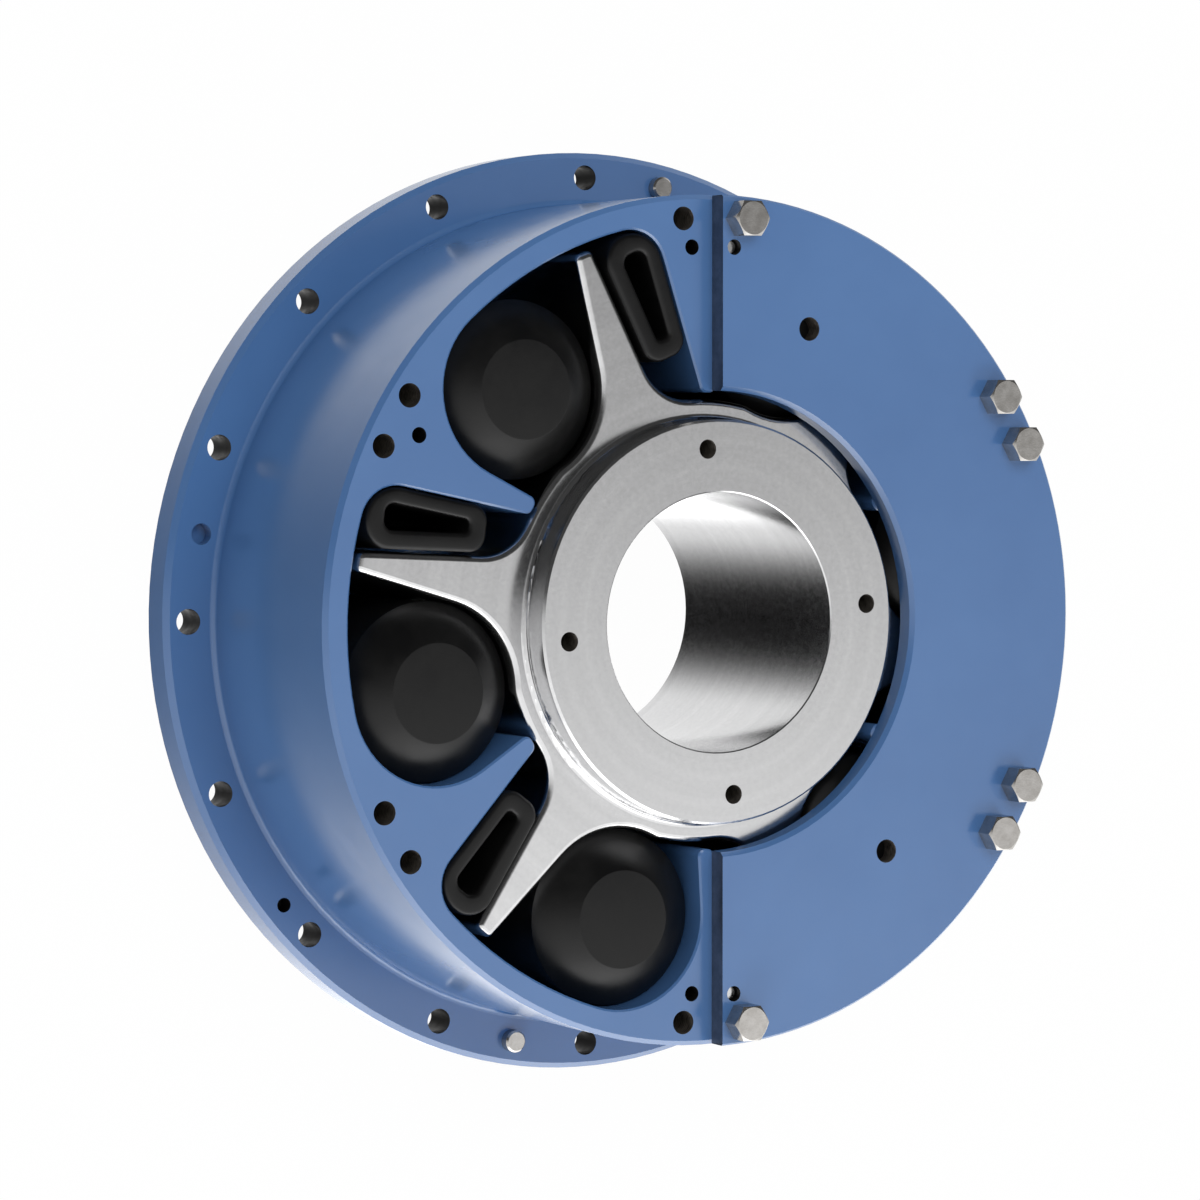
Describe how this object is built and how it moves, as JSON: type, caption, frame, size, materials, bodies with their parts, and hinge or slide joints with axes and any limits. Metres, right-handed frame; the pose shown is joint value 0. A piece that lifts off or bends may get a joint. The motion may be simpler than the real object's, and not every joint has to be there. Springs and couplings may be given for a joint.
{
  "type": "elastomer block flange coupling",
  "caption": "Flange coupling: bladed steel hub held in a vaned flanged drum by round and slotted rubber blocks, with half of its front cover plate fitted.",
  "frame": {"origin": "on the shaft axis, at the back face of the flange, on which the coupling stands", "axes": "+Z along the shaft axis from the flange towards the cover; the cover half is on the +X side; +Y is up in the picture"},
  "size_m": [0.4999, 0.5, 0.174],
  "materials": {
    "blue_paint": "satin",
    "machined_steel": "machined",
    "black_rubber": "matt moulded",
    "plated_steel": "zinc plated"
  },
  "bodies": {
    "outer": {"outer_member": "blue_paint", "cover_half": "blue_paint", "drive_block_1": "black_rubber", "rebound_block_1": "black_rubber", "cover_bolt_1": "plated_steel", "drive_block_2": "black_rubber", "rebound_block_2": "black_rubber", "cover_bolt_2": "plated_steel", "drive_block_3": "black_rubber", "rebound_block_3": "black_rubber", "cover_bolt_3": "plated_steel", "drive_block_4": "black_rubber", "rebound_block_4": "black_rubber", "cover_bolt_4": "plated_steel", "drive_block_5": "black_rubber", "rebound_block_5": "black_rubber", "cover_bolt_5": "plated_steel", "drive_block_6": "black_rubber", "rebound_block_6": "black_rubber", "cover_bolt_6": "plated_steel", "flange_pin_1": "plated_steel", "cover_dowel_1": "machined_steel", "flange_pin_2": "plated_steel", "cover_dowel_2": "machined_steel"},
    "inner": {"inner_member": "machined_steel"}
  },
  "joints": [
    {"name": "windup", "type": "hinge", "parent": "outer", "child": "inner", "pos_m": [0, 0, 0.09], "axis": [0, 0, 1], "range_deg": [-1.5, 3], "stiffness_Nm_per_rad": 20000, "deforming": ["drive_block_1", "rebound_block_1", "drive_block_2", "rebound_block_2", "drive_block_3", "rebound_block_3", "drive_block_4", "rebound_block_4", "drive_block_5", "rebound_block_5", "drive_block_6", "rebound_block_6"]}
  ]
}
